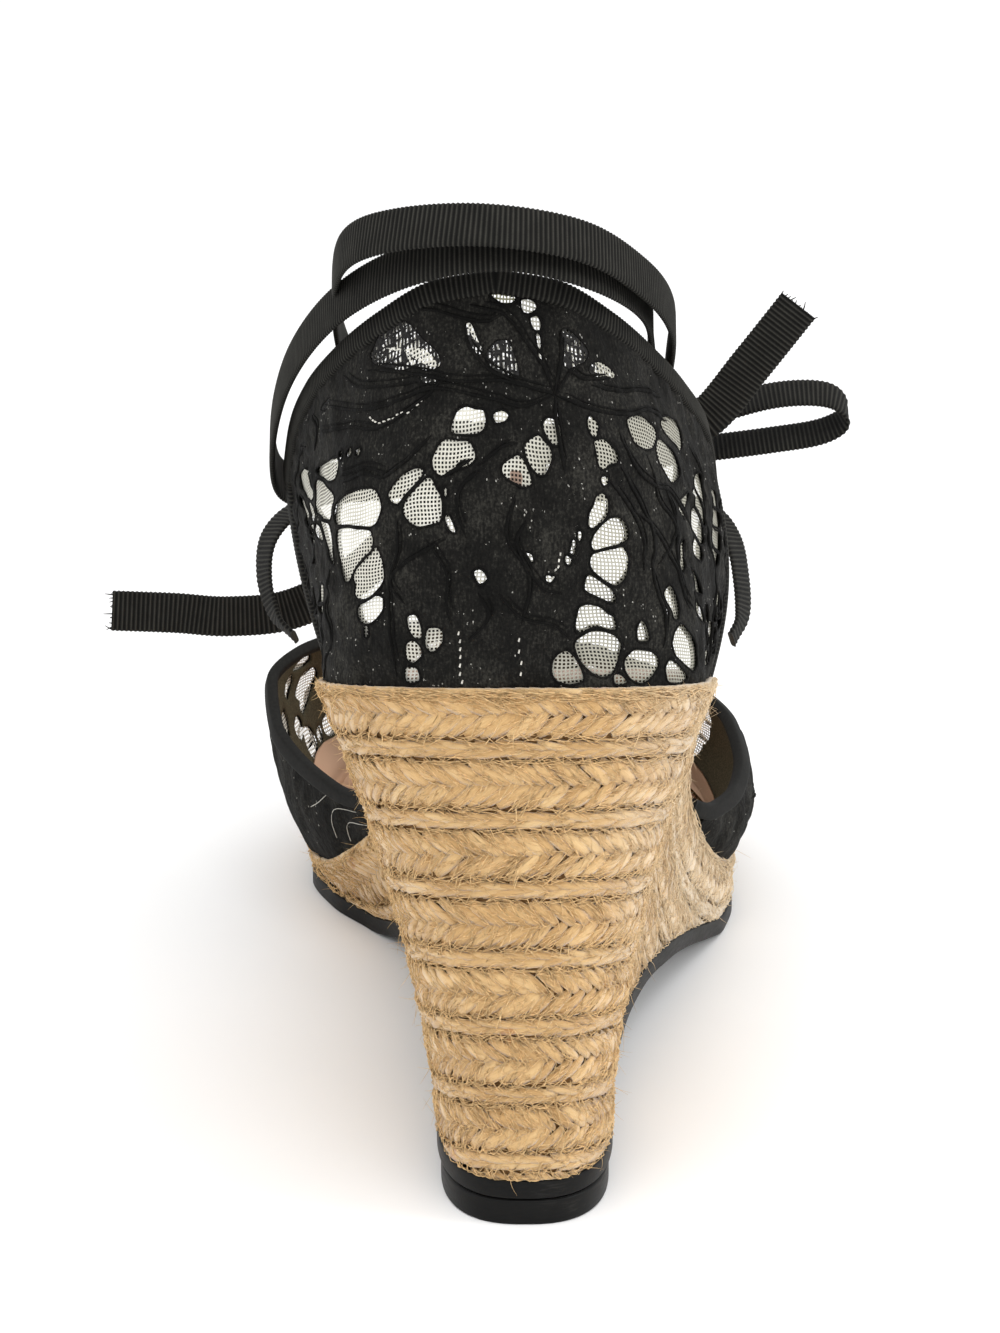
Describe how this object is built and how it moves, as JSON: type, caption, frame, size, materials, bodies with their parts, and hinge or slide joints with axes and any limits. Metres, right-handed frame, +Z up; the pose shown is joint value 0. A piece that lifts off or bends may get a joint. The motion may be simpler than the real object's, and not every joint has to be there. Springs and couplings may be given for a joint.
{
  "type": "wedge pump",
  "caption": "right-foot lace wedge shoe with a jute-braided wedge heel, open collar and throat, and a ribbon tied round the ankle",
  "frame": {"origin": "centre of the heel lift's bottom face", "axes": "+Y from the heel to the toe, +X to the outer side of the foot, +Z up from the floor"},
  "size_m": [0.1391, 0.2322, 0.1849],
  "materials": {
    "rubber": "satin black moulded rubber",
    "jute": "plaited natural jute, matt",
    "tan_leather": "smooth tan lining leather",
    "black_lace": "matt black corded lace over net",
    "black_ribbon": "ribbed black ribbon, matt"
  },
  "bodies": {
    "root": {"heel_lift": "rubber", "outsole": "rubber", "wedge": "jute", "insole": "tan_leather", "counter": "black_lace", "counter_binding": "black_ribbon", "vamp": "black_lace", "vamp_binding": "black_ribbon", "ankle_tie": "black_ribbon", "bow_knot": "black_ribbon", "bow_loop_outer": "black_ribbon", "tie_end_inner": "black_ribbon", "tie_end_outer": "black_ribbon", "tie_strand_inner": "black_ribbon", "tie_strand_outer": "black_ribbon"}
  },
  "joints": []
}
